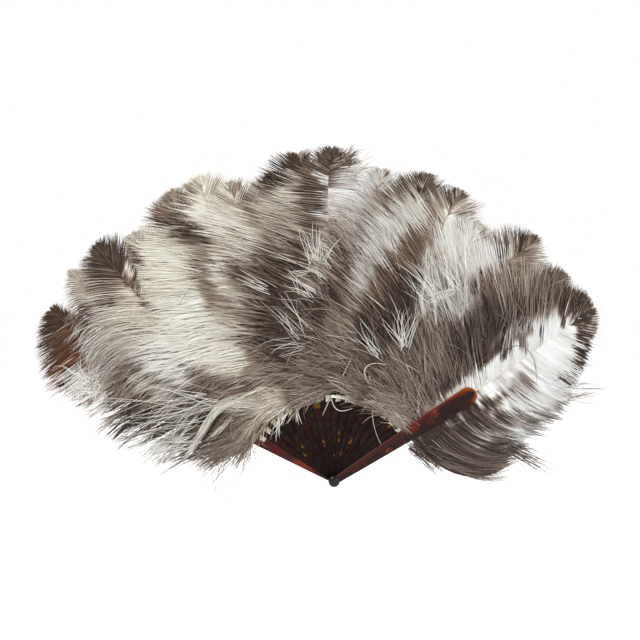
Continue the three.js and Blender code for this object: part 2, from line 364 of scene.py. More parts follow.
def set_values(mesh, name, values):
    data = mesh.attributes.new(name, "FLOAT", "POINT")
    data.data.foreach_set("value", np.asarray(values, np.float32))


def add_piece(name, mesh, material):
    mesh.update()
    mesh.validate()
    mesh.materials.append(material)
    obj = bpy.data.objects.new(name, mesh)
    bpy.context.scene.collection.objects.link(obj)
    return obj


def roof_points(batch):
    """Three points at every ring of each strand: one edge, the ridge and the other edge."""
    middle = batch["points"]
    side, face = moving_frame(middle)
    turn = batch["roll"][:, None, None]
    across = side * np.cos(turn) + face * np.sin(turn)
    out = face * np.cos(turn) - side * np.sin(turn)
    half = batch["width"][:, :, None] / 2
    return np.stack([middle - across * half, middle + out * half * RIDGE, middle + across * half], axis=2)


def roof_quads(count, rings):
    """Two rows of quads for each strand, as numbers of its points."""
    base = (np.arange(count)[:, None] * rings + np.arange(rings - 1)) * 3
    quads = np.stack([
        np.stack([base, base + 1, base + 4, base + 3], axis=2),
        np.stack([base + 1, base + 2, base + 5, base + 4], axis=2)], axis=2)
    return quads.reshape(-1, 4)


def roof_uvs(number, rings, rows):
    """Puts each numbered strand in its own cell of the UV square."""
    t = np.linspace(0, 1, rings)
    u = ((number % UV_COLUMNS)[:, None] + 0.06 + 0.88 * t) / UV_COLUMNS
    u = np.repeat(u[:, :, None], 3, axis=2)
    v = ((number // UV_COLUMNS)[:, None, None] + np.array([0.2, 0.5, 0.8])) / rows
    return np.stack([u, v + np.zeros_like(u)], axis=3).reshape(-1, 2)


class Strands:
    """Collects strands of one plume and turns them into one mesh of thin roofed ribbons."""

    def __init__(self):
        self.batches = []

    def add(self, points, width, tone, ash, warm, rand, roll):
        batch = dict(points=points, rand=rand, roll=roll)
        for key, value in dict(width=width, tone=tone, ash=ash, warm=warm).items():
            batch[key] = np.broadcast_to(value, points.shape[:2])
        self.batches.append(batch)

    def build(self, name, material):
        total = sum(len(batch["points"]) for batch in self.batches)
        rows = max(UV_ROWS, math.ceil(total / UV_COLUMNS))
        verts, faces, uvs = [], [], []
        values = {"tone": [], "warm": [], "rand": [], "ridge": [], "ash": []}
        start = 0
        first = 0
        for batch in self.batches:
            count, rings = batch["points"].shape[:2]
            verts.append(roof_points(batch).reshape(-1, 3))
            faces.append(start + roof_quads(count, rings))
            uvs.append(roof_uvs(first + np.arange(count), rings, rows))
            for key in ("tone", "ash", "warm"):
                values[key].append(np.repeat(batch[key], 3))
            values["rand"].append(np.repeat(batch["rand"], rings * 3))
            values["ridge"].append(np.tile([0, 1, 0], count * rings))
            start += count * rings * 3
            first += count
        verts, faces, uvs = (np.concatenate(parts) for parts in (verts, faces, uvs))
        mesh = bpy.data.meshes.new(name)
        mesh.vertices.add(len(verts))
        mesh.vertices.foreach_set("co", (verts / 1000).astype(np.float32).ravel())
        mesh.loops.add(faces.size)
        mesh.loops.foreach_set("vertex_index", faces.astype(np.int32).ravel())
        mesh.polygons.add(len(faces))
        mesh.polygons.foreach_set("loop_start", np.arange(0, faces.size, 4, dtype=np.int32))
        mesh.polygons.foreach_set("use_smooth", np.ones(len(faces), bool))
        layer = mesh.uv_layers.new(name="OFBake")
        layer.data.foreach_set("uv", uvs[faces.ravel()].astype(np.float32).ravel())
        for key, parts in values.items():
            set_values(mesh, key, np.concatenate(parts))
        return add_piece(name, mesh, material)


def tube(name, points, radii, tone, material, sides=8):
    """A tapered round rod along a line of points, closed at both ends."""
    count = len(points)
    side, face = moving_frame(points)
    turn = np.linspace(0, 2 * np.pi, sides, endpoint=False)
    ring = side[:, None] * np.cos(turn)[:, None] + face[:, None] * np.sin(turn)[:, None]
    verts = (points[:, None] + ring * radii[:, None, None]).reshape(-1, 3) / 1000
    faces = []
    for row in range(0, (count - 1) * sides, sides):
        for k in range(sides):
            n = (k + 1) % sides
            faces.append((row + k, row + n, row + sides + n, row + sides + k))
    faces.append(tuple(reversed(range(sides))))
    faces.append(tuple((count - 1) * sides + k for k in range(sides)))
    mesh = bpy.data.meshes.new(name)
    mesh.from_pydata(verts.tolist(), [], faces)
    mesh.polygons.foreach_set("use_smooth", np.ones(len(faces), bool))
    set_values(mesh, "tone", np.repeat(tone, sides))
    return add_piece(name, mesh, material)


# Plumes. The lie of a vane's barbs is given at places up the shaft: how far they open from it and how far
# they droop by their ends, in degrees, and their length. Dense is their number against the common one.
STATIONS = (115, 175, 240, 310)
COMMON = np.array((46, 68, 74, 64))


def lie(opening, droop, size=(1, 1, 1, 1)):
    return dict(dense=1, at=STATIONS, opening=opening, droop=droop, length=COMMON * size)


def plain(*size):
    return lie((84, 66, 58, 58), (4, 6, 6, 4), size)


# Left vanes of all plumes, and right vanes that aren't plain
LEFT = [
    dict(dense=1.8, at=(102, 105, 110, 130, 160, 200, 250, 285, 300, 340, 360, 378),
         opening=(54, 54, 54, 53, 50, 53, 56, 62, 66, 64, 62, 50),
         droop=(10, 10, 10, 8, 8, 8, 6, 5, 4, 2, 0, 0),
         length=(60, 74, 88, 104, 106, 97, 76, 70, 78, 65, 50, 26)),
    lie((70, 52, 50, 42), (20, 45, 55, 62), (1.4, 1.4, 1.5, 1)),
    lie((80, 50, 40, 42), (10, 22, 28, 22), (1.1, 1.15, 1.2, 1)),
    lie((84, 58, 48, 46), (4, 12, 14, 12), (1, 1.1, 0.85, 0.42)),
    lie((86, 64, 54, 52), (2, 8, 8, 8)),
    lie((86, 66, 58, 56), (0, 6, 6, 4)),
    lie((86, 68, 60, 58), (0, 4, 2, 4)),
    lie((86, 66, 64, 62), (0, -20, -2, 4)),
    lie((86, 62, 66, 70), (0, -28, -6, 4), (1, 1, 1, 0.9)),
    lie((86, 56, 58, 86), (0, -20, -8, -2), (1, 1, 0.95, 0.85)),
    lie((84, 58, 50, 66), (0, -12, -8, 6), (1, 1, 0.9, 0.5)),
    lie((84, 66, 58, 66), (0, 0, 4, 4), (1, 1, 1, 0.9)),
    lie((82, 62, 56, 64), (0, -6, 0, 0), (1, 1, 1, 0.9)),
    lie((80, 52, 40, 56), (0, -10, -6, 6)),
    lie((82, 58, 48, 52), (0, -4, 0, 6), (1, 1, 1, 0.85)),
    lie((84, 66, 58, 54), (0, 0, 0, 2), (1, 1, 1, 0.7)),
    lie((84, 68, 62, 56), (0, 0, 0, 0)),
    lie((84, 70, 58, 54), (-2, -4, -4, -4), (1, 1, 1, 0.9)),
]
RIGHT = {
    0: plain(0.8, 0.8, 0.6, 0.35),
    8: plain(0.8, 0.8, 0.7, 0.4),
    9: lie((84, 66, 76, 100), (4, 10, 40, 40), (0.8, 0.8, 1.15, 1.5)),
    LAST: dict(dense=3.4, at=(105, 140, 170, 195, 220, 250, 280, 310, 330, 342),
               opening=(86, 85, 83, 81, 78, 74, 69, 62, 56, 46),
               droop=(-90, -72, -57, -44, -30, -14, -6, 0, 0, 0),
               length=(122, 109, 98, 91, 83, 72, 56, 38, 30, 22)),
}
PLAIN = plain(0.8, 0.8, 0.8, 0.8)

# How far each plume's end leans to the left of its stick, in degrees, and how far a shaft bows on the way
LEAN = (-2.4, -3, -2.2, -1, -4, -2.5, 0, -1, 0.8,
        1.9, 0, -1.4, -0.7, 0, -3.2, -5, -3, 1.9)
BOW = {9: 14}
# Sizes of the shafts, and the tones of those that are darker or paler than the common one
SHAFT_RADIUS = 1.15
SHAFT_TAPER = 0.85
SHAFT_RISE = 0.5
SHAFT_RINGS = 40
COMMON_SHAFT = 0.7
SHAFT_TONE = {0: 0.2, 2: 0.12, 9: 0.55, 12: 0.45, 14: 0.3, LAST: 0.95}
# How far a shaft ends short of its solid, and plumes that reach further than that or less far
TIP = 4
REACH = {0: -8, 1: -4, 7: 6, 8: 4, 10: 6, 11: 4, 12: 3, 14: 7, 15: 12, 16: 6, LAST: 2}
# Plumes with a broad end, over 1, or a slim one, under 1
BREADTH = {0: 1.42, 1: 0.65, 8: 1.5, 9: 1.2, 14: 0.85, 15: 0.85, 16: 0.9}

# Markings: soft ovals in the open fan, each at a stick number and a radius with its half sizes, and a tone
# from 0 dark brown to 1 white. Slope is in sticks for each 100 mm outward. Ash is how grey, rust how
# reddish, gap_shade how much darker the layer under it is painted (a painted shade between the strands),
# soft how wide its edge is and only the plumes that have it. A mark lies over those before it.
MARKS = []
COMMON_GAP_SHADE = 0.16


def mark(*oval, slope=0, ash=0.25, rust=0, gap_shade=COMMON_GAP_SHADE, soft=0.3, only=None):
    MARKS.append((*oval, slope, ash, rust, gap_shade, soft, only))


# Left flank: beige above, dark with white strings below, brown tuft at the bottom
mark(0.3, 312, 1.7, 48, 0.68, ash=0.55)
mark(-1.6, 225, 1.4, 66, 0.2, ash=0.5, gap_shade=0.31)
mark(-0.4, 222, 0.9, 58, 0.43, ash=0.4, gap_shade=0.36)
mark(-1.75, 302, 0.75, 26, 0.93, ash=0.9, gap_shade=0.12)
mark(-0.2, 284, 0.45, 20, 0.5, ash=0.5)
mark(-0.95, 262, 0.4, 16, 0.42)
mark(-2.65, 212, 0.5, 28, 0.88, ash=0.9, gap_shade=0.05)
mark(-2, 156, 2.3, 26, 0.28)
mark(-1.6, 121, 1.1, 12, 0.5)
mark(0.2, 112, 1.2, 10, 0.56, ash=0.1)
# Cream plumes left of the middle
mark(2.4, 275, 1.5, 80, 0.87, ash=0.1)
mark(2.5, 240, 1.2, 46, 1, ash=0.2, gap_shade=0.05)
mark(0.8, 236, 0.7, 32, 0.9, ash=0.6)
mark(1.2, 170, 0.7, 32, 0.36, slope=-3.8)
mark(2.9, 192, 1, 34, 0.86, gap_shade=0.1)
mark(1.3, 146, 0.8, 22, 0.62, slope=-4.5, ash=0.1)
mark(3.3, 325, 0.7, 36, 0.95, ash=0.05)
mark(1.6, 300, 0.6, 30, 0.75, ash=0.2)
mark(3, 117, 1.5, 18, 0.73, ash=0)
mark(3.5, 150, 0.6, 18, 0.6)
# The rear guard plume's rusty leaf and the dark leaf of plume 2
mark(-0.4, 355, 1.5, 60, 0.22, slope=2.5, rust=0.9, only=(0,))
mark(0.35, 374, 0.8, 22, 0.1, rust=0.35, only=(0,))
mark(-0.45, 372, 0.35, 20, 0.14, rust=0.3, only=(0,))
mark(1.4, 372, 0.45, 30, 0.68, ash=0.4, only=(1,))
mark(-0.6, 318, 0.5, 22, 0.75, ash=0.8, gap_shade=0.3, only=(1, 2, 3))
mark(0.7, 349, 0.35, 13, 0.18, rust=0.2, only=(0, 1))
mark(2.4, 368, 0.85, 37, 0.16, slope=0.6, only=(2,))
mark(2.25, 312, 0.15, 24, 0.4, slope=0.9, only=(2,))
# Brown and white marks of plumes 4 to 6
mark(4.9, 188, 0.95, 46, 0.42)
mark(4.1, 216, 0.3, 20, 0.68)
mark(5, 276, 0.8, 30, 0.76)
mark(4.2, 278, 0.3, 40, 0.47, slope=1.2)
mark(4.8, 260, 0.45, 28, 0.92)
mark(4.6, 374, 0.8, 15, 0.5, rust=0.1)
mark(3.85, 368, 0.25, 9, 0.35, rust=0.5)
mark(5.5, 372, 0.6, 18, 0.84, ash=0.1)
mark(4.95, 366, 0.45, 9, 0.45)
mark(4.2, 351, 0.45, 9, 0.24)
mark(4.6, 327, 0.38, 14, 0.2, slope=-1)
mark(5, 345, 0.5, 18, 0.96, ash=0.2)
mark(5.5, 318, 0.6, 19, 0.93, slope=-2)
mark(6.25, 335, 0.25, 32, 0.52, slope=-1, gap_shade=0.4)
mark(6.8, 325, 0.5, 26, 0.6)
# Middle: grey-brown, the dark leaf of plume 8 and the two halves of plume 9
mark(6.3, 255, 1.6, 38, 0.37)
mark(6.9, 238, 1.1, 34, 0.16)
mark(6, 184, 1.3, 34, 0.2)
mark(6, 200, 0.6, 26, 0.1)
mark(5.7, 293, 0.9, 16, 0.76)
mark(7.4, 364, 0.8, 20, 0.13, slope=0.8)
mark(7.3, 337, 0.5, 14, 0.8, slope=3)
mark(8.6, 215, 1.4, 62, 0.31, gap_shade=0.28)
mark(7.4, 240, 0.5, 40, 0.24, gap_shade=0.3)
mark(9.1, 172, 0.9, 36, 0.44)
mark(10, 262, 0.75, 50, 0.57, ash=0.7)
mark(8.3, 258, 0.36, 32, 0.78, gap_shade=0.5)
mark(8.25, 338, 0.5, 58, 0.29, slope=0.5, only=(9,))
mark(8.8, 382, 0.7, 16, 0.2, only=(9,))
mark(9.5, 331, 0.78, 31, 0.8, ash=0.9, only=(9, 10))
mark(9.2, 371, 0.25, 9, 0.25, rust=0.3, only=(9,))
# Right of the middle: pale, a brown diagonal, a dark hollow under white strings
mark(10.7, 300, 0.8, 40, 0.82, slope=0.8, ash=0.6)
mark(10.3, 335, 0.35, 18, 0.45)
mark(11.2, 360, 1.4, 18, 0.26)
mark(10, 352, 0.4, 13, 0.76, ash=0.7)
mark(10.6, 184, 0.65, 30, 0.1)
mark(11.5, 152, 0.6, 22, 0.27)
mark(11.2, 112, 0.9, 10, 0.28)
mark(10.1, 122, 0.7, 12, 0.34)
mark(12.5, 296, 0.8, 54, 1, ash=0.5, gap_shade=0.08)
mark(11.1, 256, 0.56, 54, 0.36, slope=1.2, rust=0.16)
mark(9.8, 240, 0.4, 22, 0.72, ash=0.7)
mark(11.6, 212, 0.9, 54, 0.15, slope=0.8)
mark(12.7, 254, 0.55, 38, 0.88, ash=0.6, gap_shade=0.4)
mark(13.3, 310, 0.9, 36, 0.92, ash=0.6)
mark(13.4, 337, 0.5, 12, 0.5)
mark(12.5, 342, 0.4, 10, 0.6)
mark(11.8, 340, 0.35, 12, 0.5)
mark(12.2, 283, 0.3, 15, 0.7, ash=0.5)
mark(13.7, 256, 0.7, 34, 0.76, ash=0.8, gap_shade=0.3)
mark(14.4, 282, 0.7, 20, 0.42, rust=0.15)
mark(14.2, 352, 0.7, 19, 0.2)
mark(14.85, 350, 0.28, 13, 0.72, only=(14, 15, 16))
mark(14.8, 318, 0.5, 26, 0.53)
mark(15.6, 342, 0.6, 26, 0.38)
mark(16.45, 336, 0.42, 23, 0.14)
mark(15.8, 306, 0.5, 18, 0.37)
# Right flank: dark taupe, the white plume of the front guard with its dark fringe, the dark lower lobe
mark(14.5, 150, 2.2, 52, 0.41, ash=0.4)
mark(15.3, 240, 1.1, 54, 0.2, ash=0.6)
mark(15.5, 170, 0.7, 34, 0.3, ash=0.5)
mark(16.45, 182, 0.4, 42, 0.82, ash=0.7)
mark(17.6, 262, 1.7, 78, 0.91, ash=0.9, soft=0.14, gap_shade=0.06)
mark(16.9, 244, 0.3, 30, 0.93, ash=0.9)
mark(16.15, 232, 0.24, 24, 0.26, ash=0.5)
mark(16.25, 264, 0.24, 18, 0.5, ash=0.6)
# A painted shadow: a grey patch in the white vane.
mark(17.4, 260, 0.3, 12, 0.84, ash=0.9)
mark(17.35, 332, 0.5, 34, 0.16, slope=-4, ash=0.4)
mark(16.5, 325, 0.22, 8, 0.35)
mark(18.8, 284, 0.4, 16, 0.92, ash=0.9)
mark(17.4, 350, 0.45, 9, 0.7, slope=-4, ash=0.5)
mark(19.6, 150, 2.4, 54, 0.12, ash=0.7)
mark(17.8, 216, 0.22, 8, 0.3, ash=0.7)
mark(17.85, 244, 0.45, 16, 0.66, ash=0.9)
mark(18.9, 214, 0.5, 18, 0.42, ash=0.8)
mark(20, 229, 0.7, 22, 0.92, ash=0.9)
mark(19.2, 252, 0.3, 34, 0.6, ash=0.9)
mark(18.6, 172, 0.8, 7, 0.4, ash=0.9)
mark(19.4, 179, 0.5, 6, 0.55, ash=0.9)
# Small patches over the others
mark(7.1, 280, 0.28, 13, 0.55)
mark(1.55, 342, 0.34, 14, 0.45)
mark(2.75, 342, 0.2, 14, 0.3, only=(2, 3, 4))
mark(17.95, 196, 0.35, 12, 0.42, ash=0.8)
mark(17.85, 156, 0.35, 14, 0.5, ash=0.8)
mark(5.75, 334, 0.25, 10, 0.7)
mark(8.6, 354, 0.3, 13, 0.22)
mark(-0.3, 232, 0.35, 26, 0.74, ash=0.5)
mark(8.6, 318, 0.2, 22, 0.75, ash=0.9, only=(9,))
mark(9.6, 206, 0.35, 13, 0.5)
mark(6.4, 195, 0.4, 22, 0.12)
mark(-1, 316, 0.35, 16, 0.85, ash=0.9, only=(0,))


def smooth(value):
    value = np.clip(value, 0, 1)
    return value * value * (3 - 2 * value)


def paint(index, stick, radius):
    """Tone, ash, rust and gap of a plume at places in the open fan."""
    look = [np.interp(radius, [195, 260], [0.39, 0.6]), np.full(radius.shape, 0.3),
            np.zeros(radius.shape), np.full(radius.shape, COMMON_GAP_SHADE)]
    for at, middle, half_stick, half_radius, tone, slope, ash, rust, gap_shade, soft, only in MARKS:
        if only and index not in only:
            continue
        across = (stick - at - slope * (radius - middle) / 100) / half_stick
        share = smooth((1 + soft - np.hypot(across, (radius - middle) / half_radius)) / (2 * soft))
        look = [old + (new - old) * share for old, new in zip(look, (tone, ash, rust, gap_shade))]
    return look


def polar(x, z):
    """Stick number and radius of places in the open fan."""
    return (REAR_ANGLE - np.degrees(np.arctan2(z, x))) / STEP, np.hypot(x, z)


def shaft_end(index):
    return LONGEST * SHARES[index] - TIP + REACH.get(index, 0)


def shaft_point(index, share):
    """A place on a plume's shaft, in the plane of the fan: radius and angle."""
    radius = QUILL_START + (shaft_end(index) - QUILL_START) * share
    lean = LEAN[index] * share ** 3
    bow = BOW.get(index, 0) * share ** 2 * (1 - share)
    return radius, np.radians(stick_angle(index) + lean + bow)


# Strands

RINGS = 12  # places along a strand
WHOLE_TURN = 6.28
LOW_EDGE = -18  # strands that hang lower than this are drawn up
LOW_SHARE = 0.7
LEAF_TILT = 0.12
TILT_REACH = 70
GUARD_COVER = 12  # half width that a guard covers
TONGUE_COVER = 4  # half width that a stick's tongue covers
COVER_END = 196


def along_strand(count=RINGS):
    """Shares along a strand, in a row."""
    return np.linspace(0, 1, count)[None, :]


def place_on_leaf(index, x, z, lift, clamp=True):
    """Points on a plume's bent leaf. Clamped ones lie flat where the stick covers them."""
    axis = math.radians(stick_angle(index))
    aside = -x * math.sin(axis) + z * math.cos(axis)
    radius = np.hypot(x, z)
    z = np.where(z < LOW_EDGE, LOW_EDGE + (z - LOW_EDGE) * LOW_SHARE, z)
    rise = np.clip(aside, -TILT_REACH, TILT_REACH) * LEAF_TILT + lift
    if clamp:
        cover = GUARD_COVER if index in (0, LAST) else TONGUE_COVER
        rise *= np.maximum(smooth((np.abs(aside) - cover) / 10), smooth((radius - COVER_END) / 12))
    return np.stack([x, -(plume_height(index, radius) + rise), z], axis=2)


def walk(index, radius, angle, heading, length, lift):
    """Runs strands along headings given at each ring, on the plume's bent leaf."""
    step = length[:, None] / (RINGS - 1)
    place = []
    for turn in (np.cos, np.sin):
        part = turn(heading)
        paces = (part[:, 1:] + part[:, :-1]) / 2 * step
        start = (radius * turn(angle))[:, None]
        place.append(np.cumsum(np.concatenate([start, paces], axis=1), axis=1))
    return place_on_leaf(index, *place, lift)


def drift(rng, share, amount):
    """A slow random change along the shaft."""
    a, b, c = rng.uniform(0, 2 * np.pi, 3)
    waves = 0.5 * np.sin(9 * share + a) + 0.35 * np.sin(21 * share + b) + 0.25 * np.sin(47 * share + c)
    return amount * waves


def gather(points, group, strength, along):
    """Draws the strands of each group towards their middle."""
    sums = np.zeros((group.max() + 1,) + points.shape[1:])
    np.add.at(sums, group, points)
    middle = (sums / np.bincount(group)[:, None, None])[group]
    return points + strength[group][:, None, None] * along[:, :, None] * (middle - points)


class Row:
    """A row of barbs in bundles and larger locks, and the random changes that they share."""

    def __init__(self, rng, count, bundle):
        self.rng = rng
        self.count = count
        self.lock = self.grouped(6, 14)
        self.locks = self.lock.max() + 1
        self.bundle = self.grouped(*bundle)
        self.bundles = self.bundle.max() + 1

    def grouped(self, low, high):
        """Numbers that split the row into groups of a few barbs each."""
        return np.repeat(np.arange(self.count), self.rng.integers(low, high + 1, self.count))[:self.count]

    def by_lock(self, spread):
        return self.rng.normal(0, spread, self.locks)[self.lock]

    def by_bundle(self, spread):
        return self.rng.normal(0, spread, self.bundles)[self.bundle]

    def own(self, spread):
        return self.rng.normal(0, spread, self.count)


# Vanes. Pitch, lift and width of a layer's barbs are in millimetres, ripple and curl in degrees. Bundle is
# how many cling together, wild how freely they stray, trim their length against the vane's, draw how far
# locks close up, fall how late barbs taper, fleck how bundles differ in tone and dark how much darker
# they are painted: a painted shade for a layer that lies under another.
Layer = namedtuple("Layer", "pitch bundle wild trim ripple curl lift draw fall width fleck dark")
TOP = Layer(pitch=0.6, bundle=(4, 6), wild=1, trim=1, ripple=5, curl=4, lift=1, draw=1, fall=1.9,
            width=0.44, fleck=0.075, dark=0)
UNDER = TOP._replace(pitch=1.5, trim=0.92, lift=-1.2, draw=0.3, fall=2.6, width=1.8, dark=0.03)
# The front guard's lower vane is a dark lobe of larger bundles that stray less.
LOBE = dict(bundle=(7, 13), ripple=3.5, curl=1, fleck=0.11)
LOBE_TOP = TOP._replace(wild=0.4, **LOBE)
LOBE_UNDER = UNDER._replace(wild=0.12, trim=0.97, fall=5, width=2.6, dark=0.1, **LOBE)
# How barbs close up, straighten and shorten by a plume's end: distances from it, then shares or lengths
END_OPENING = ((0, 4, 12, 28, 55), (0.2, 0.36, 0.52, 0.76, 1))
END_DROOP = ((0, 25, 70), (0, 0.5, 1))
END_LENGTH = ((0, 5, 14, 30, 60, 110, 200), (6, 12, 22, 40, 63, 95, 200))
# How freely barbs stray, by their root's radius
STRAYING = ((100, 160, 240, 290), (1.6, 1.4, 0.9, 0.25))


def along_shaft(flow, radius):
    return (np.interp(radius, flow["at"], flow[key]) for key in ("opening", "droop", "length"))


def barb_lie(flow, index, radius):
    """Opening, droop and length of the barbs that grow at each radius."""
    opening, droop, length = along_shaft(flow, radius)
    left = shaft_end(index) - radius
    near = left * BREADTH.get(index, 1)
    longest = np.interp(near, *END_LENGTH)
    length = -5 * np.log(np.exp(-length / 5) + np.exp(-longest / 5))
    return opening * np.interp(near, *END_OPENING), droop * np.interp(left, *END_DROOP), length


def looseness(index, radius, angle, heading, length):
    """How far the locks part, from the gap of the marks at the barbs' middles."""
    x, z = (radius * turn(angle) + 0.5 * length * turn(heading) for turn in (np.cos, np.sin))
    gap_shade = paint(index, *polar(x, z))[3]
    return np.clip((gap_shade - COMMON_GAP_SHADE) / 0.35, 0, 1)


def barb_headings(row, layer, angle, side, opening, droop, wild, t):
    """Headings of the barbs at each ring: their lie, the sweep of their ends, a ripple and a finer curl."""
    heading = angle[:, None] + side * np.radians(opening[:, None] + droop[:, None] * t ** 1.6)
    heading += np.radians((row.by_lock(10) + row.by_bundle(7)) * wild)[:, None] * t ** 3
    phase = row.rng.uniform(0, WHOLE_TURN, row.locks)[row.lock][:, None]
    heading += np.radians(layer.ripple * wild)[:, None] * np.sin(5.5 * t + phase) * t
    phase = row.rng.uniform(0, WHOLE_TURN, row.bundles)[row.bundle][:, None]
    return heading + np.radians(layer.curl * wild)[:, None] * np.sin(10 * t + phase) * t


def barb_looks(row, layer, index, points, pale, loose, t):
    """Tone, ash and rust of the barbs at each ring."""
    stick, radius = polar(points[:, :, 0], points[:, :, 2])
    stick += (row.by_lock(0.08) + row.by_bundle(0.12))[:, None]
    radius += (row.by_lock(4) + row.by_bundle(7))[:, None]
    tone, ash, rust, gap_shade = paint(index, stick, radius)
    # Pale barbs are drawn towards white; the others are painted a little darker where the locks part, a
    # painted shade in the gaps.
    tone = tone + (pale * 0.75)[:, None] * (0.92 - tone) - ((1 - pale) * loose * 0.08)[:, None]
    fleck = row.by_lock(0.03)[:, None] + row.by_bundle(layer.fleck)[:, None] * (1 - 0.5 * t * t)
    fleck += row.own(0.04)[:, None]
    tone = tone + fleck * (1.3 - 0.8 * tone) + 0.03
    # Painted shade: a layer that lies under another is painted darker by gap_shade and dark.
    if layer.dark:
        tone = tone - gap_shade - 0.22 * (0.62 - tone) - layer.dark
    return np.clip(tone, 0, 1), ash, rust


def barbs(strands, rng, index, side, top):
    """One layer of a vane: fine barbs in bundles on top, or wider ones under them that are painted darker
    as shade.
    """
    lobe = index == LAST and side < 0
    over, under = (LOBE_TOP, LOBE_UNDER) if lobe else (TOP, UNDER)
    layer = over if top else under
    flow = LEFT[index] if side > 0 else RIGHT.get(index, PLAIN)
    count = int((shaft_end(index) - QUILL_START) / layer.pitch * flow["dense"])
    share = np.clip((np.arange(count) + 0.5 + rng.normal(0, 0.16, count)) / count, 0, 1)
    share = share ** 1.35 if lobe else 1 - (1 - share) ** 1.3
    radius, angle = shaft_point(index, share)
    row = Row(rng, count, layer.bundle)
    opening, droop, length = barb_lie(flow, index, radius)
    loose = looseness(index, radius, angle, angle + side * np.radians(opening + 0.3 * droop), length)
    wild = np.interp(radius, *STRAYING) * (1 + 0.4 * loose) * layer.wild
    if index == 0:
        wild = np.minimum(wild, 1)
    t = along_strand()
    length = length * (1 + drift(rng, share, 0.06) + row.by_lock(0.1) * wild + row.own(0.06)) * layer.trim
    opening += (drift(rng, share, 4) + row.by_lock(3) + row.own(0.8)) * wild
    droop += (drift(rng, share, 12) + row.by_lock(10) + row.by_bundle(5)) * wild
    heading = barb_headings(row, layer, angle, side, opening, droop, wild, t)
    lift = (layer.lift + row.by_lock(0.4) * wild + row.own(0.15))[:, None] * t
    lift += (row.by_lock(0.6) * wild + 0.8)[:, None] * np.sin(np.pi * t)
    points = walk(index, radius, angle, heading, length, lift)
    if top:
        middle = np.bincount(row.bundle, radius) / np.bincount(row.bundle)
        tight = np.interp(middle, [180, 290], [0.66, 0.84])
        points = gather(points, row.bundle, tight, np.minimum(1, t * 4) * (1 - 0.7 * t ** 4))
    parting = 0.4 * np.bincount(row.lock, loose) / np.bincount(row.lock)
    together = rng.uniform(0, 0.12, row.locks) + parting
    points = gather(points, row.lock, together * layer.draw, t ** 2)
    pale = (rng.random(row.locks)[row.lock] < 0.45 * loose) & (rng.random(count) < 0.8)
    width = layer.width * (1 + row.own(0.12) + 0.35 * pale)[:, None]
    width = width * np.minimum(1, 0.6 + 1.5 * t) * (1 - t ** layer.fall) ** 0.8 + 0.1
    looks = barb_looks(row, layer, index, points, pale, loose, t)
    strands.add(points, width, *looks, rng.random(count), row.own(0.2) + row.by_lock(0.15))


# Plumes with little down, over the middle of the sticks
BARE = (9, 10, 11, 12)


def down_drop(index):
    """How far below the shaft's root the down may start, or above it where negative."""
    if index in BARE:
        return 0
    if index < 6:
        return -6
    return 7 if index < 13 else 2


def down(strands, rng, index):
    """Loose strands where the plume leaves its stick, which hide most of the ribbon."""
    bare = index in BARE
    count = 7 if bare else 60
    radius, angle = shaft_point(index, rng.uniform(0, 0.05, count))
    t = along_strand()
    opening = 88 if bare else np.interp(index, [0, 3, 6, 8], [84, 80, 88, 101])
    heading = angle + np.radians(rng.normal(opening, 9, count))
    heading = heading[:, None] + np.radians(rng.normal(4, 22, count))[:, None] * t
    step = rng.uniform(20, 42, (count, 1)) / (RINGS - 1)
    lift = rng.uniform(1.6, 3.4, (count, 1))
    radius -= rng.random(count) * down_drop(index)
    x, z = ((radius * turn(angle))[:, None] + np.cumsum(turn(heading), axis=1) * step
            for turn in (np.cos, np.sin))
    points = place_on_leaf(index, x, z, lift, clamp=False)
    width = rng.uniform(0.6, 1.3, (count, 1)) * (1 - t ** 2.5) ** 0.7 + 0.12
    stick, radius = polar(x, z)
    tone, ash, rust = paint(index, stick, np.maximum(radius, 104))[:3]
    tone = np.clip(tone + 0.06 + rng.normal(0, 0.14, (count, 1)), 0.2, 0.97)
    strands.add(points, width, tone, ash, rust, rng.random(count), rng.normal(0, 0.5, count))


def wisps(strands, rng, index, count=240):
    """Thin stray strands that leave the lie of the vane."""
    share = rng.uniform(0.03, 0.97, count) ** 1.4
    side = rng.choice([-1, 1], count, p=[0.35, 0.65])
    radius, angle = shaft_point(index, share)
    left = shaft_end(index) - radius
    t = along_strand()
    opening, droop, length = along_shaft(LEFT[index], radius)
    turn = opening * np.interp(left, [0, 12, 55], [0.3, 0.85, 1])
    stray = np.interp(radius, [100, 180, 300], [1.5, 1.1, 0.6])
    heading = (angle + side * np.radians(turn + rng.normal(0, 11, count) * stray))[:, None]
    bend = side * droop + rng.normal(0, 34, count) * stray
    heading = heading + np.radians(bend)[:, None] * t ** 1.5
    length = np.minimum(length, 14 + 0.8 * left) * rng.uniform(0.75, 1.12, count)
    lift = rng.normal(1.2, 1.2, (count, 1)) * t
    points = walk(index, radius, angle, heading, length, lift)
    width = rng.uniform(0.3, 0.6, (count, 1)) * (1 - t ** 3) ** 0.6 + 0.08
    tone, ash, rust = paint(index, *polar(points[:, :, 0], points[:, :, 2]))[:3]
    tone = np.clip(tone + rng.normal(0.06, 0.16, (count, 1)), 0.05, 1)
    strands.add(points, width, tone, ash, rust, rng.random(count), rng.normal(0, 0.5, count))


def threads(strands, rng, index, x, z, height, width, tone, ash):
    """Adds loose strands of one tone, at places in the plane of the fan."""
    count, length = x.shape
    points = place_on_leaf(index, x, z, height, clamp=False)
    size = width * rng.uniform(0.7, 1.2, (count, 1)) * (1 - along_strand(length) ** 3) ** 0.7 + 0.1
    shade = np.clip(tone + rng.normal(0, 0.12, count), 0, 1)[:, None]
    strands.add(points, size, shade, ash, 0, rng.random(count), rng.normal(0, 0.5, count))


